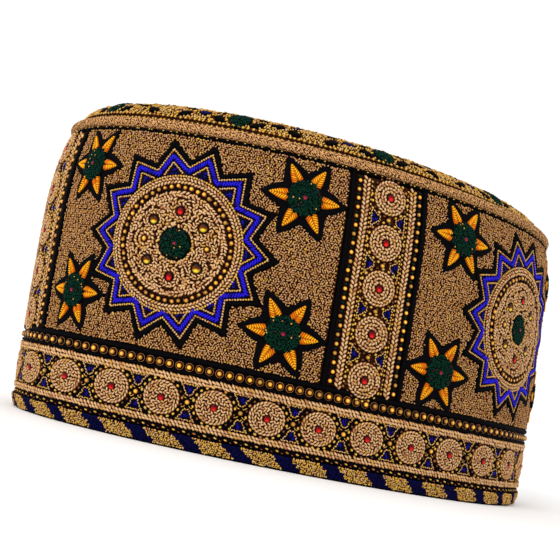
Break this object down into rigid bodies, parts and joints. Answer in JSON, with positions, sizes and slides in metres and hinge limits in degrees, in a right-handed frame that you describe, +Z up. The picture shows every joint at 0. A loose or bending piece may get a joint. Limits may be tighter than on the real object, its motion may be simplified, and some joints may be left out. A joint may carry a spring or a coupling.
{
  "type": "balochi cap",
  "caption": "Oval brimless cloth cap with a tall embroidered band of star medallions, coiled rosettes and flowers under a low padded crown.",
  "frame": {"origin": "middle of the box of the cap, on the surface that its rim rests on", "axes": "+Z up through the crown, +X along the long way of the oval, -Y the front as pictured"},
  "size_m": [0.2152, 0.1532, 0.117],
  "materials": {
    "ground_stitch": "tan chain stitch worked all over dark brown cotton",
    "crown_stitch": "tan and gold chain stitch with dark appliqué",
    "piping_twill": "plain tan cotton twill roll",
    "hem_cloth": "gold and navy bars of satin stitch",
    "frieze_stitch": "coiled tan braid, navy ground, gold seed beads",
    "strip_stitch": "black cord borders, gold seed beads and tan braid",
    "rosette_braid": "coiled tan braid round a red stone",
    "star_satin": "blue and black satin cord, tan braid disc, small glass stones",
    "flower_satin": "yellow to orange satin petals in a black outline, green knotted middle"
  },
  "bodies": {
    "root": {"side_wall": "ground_stitch", "hem_binding": "hem_cloth", "top_piping": "piping_twill", "crown": "crown_stitch", "rosette_frieze": "frieze_stitch", "strip_1": "strip_stitch", "star_1": "star_satin", "flower_1_1": "flower_satin", "flower_1_2": "flower_satin", "flower_1_3": "flower_satin", "flower_1_4": "flower_satin", "strip_rosette_1_1": "rosette_braid", "strip_rosette_1_2": "rosette_braid", "strip_rosette_1_3": "rosette_braid", "strip_rosette_1_4": "rosette_braid", "strip_rosette_1_5": "rosette_braid", "strip_2": "strip_stitch", "star_2": "star_satin", "flower_2_1": "flower_satin", "flower_2_2": "flower_satin", "flower_2_3": "flower_satin", "flower_2_4": "flower_satin", "strip_rosette_2_1": "rosette_braid", "strip_rosette_2_2": "rosette_braid", "strip_rosette_2_3": "rosette_braid", "strip_rosette_2_4": "rosette_braid", "strip_rosette_2_5": "rosette_braid", "strip_3": "strip_stitch", "star_3": "star_satin", "flower_3_1": "flower_satin", "flower_3_2": "flower_satin", "flower_3_3": "flower_satin", "flower_3_4": "flower_satin", "strip_rosette_3_1": "rosette_braid", "strip_rosette_3_2": "rosette_braid", "strip_rosette_3_3": "rosette_braid", "strip_rosette_3_4": "rosette_braid", "strip_rosette_3_5": "rosette_braid", "strip_4": "strip_stitch", "star_4": "star_satin", "flower_4_1": "flower_satin", "flower_4_2": "flower_satin", "flower_4_3": "flower_satin", "flower_4_4": "flower_satin", "strip_rosette_4_1": "rosette_braid", "strip_rosette_4_2": "rosette_braid", "strip_rosette_4_3": "rosette_braid", "strip_rosette_4_4": "rosette_braid", "strip_rosette_4_5": "rosette_braid"}
  },
  "joints": []
}
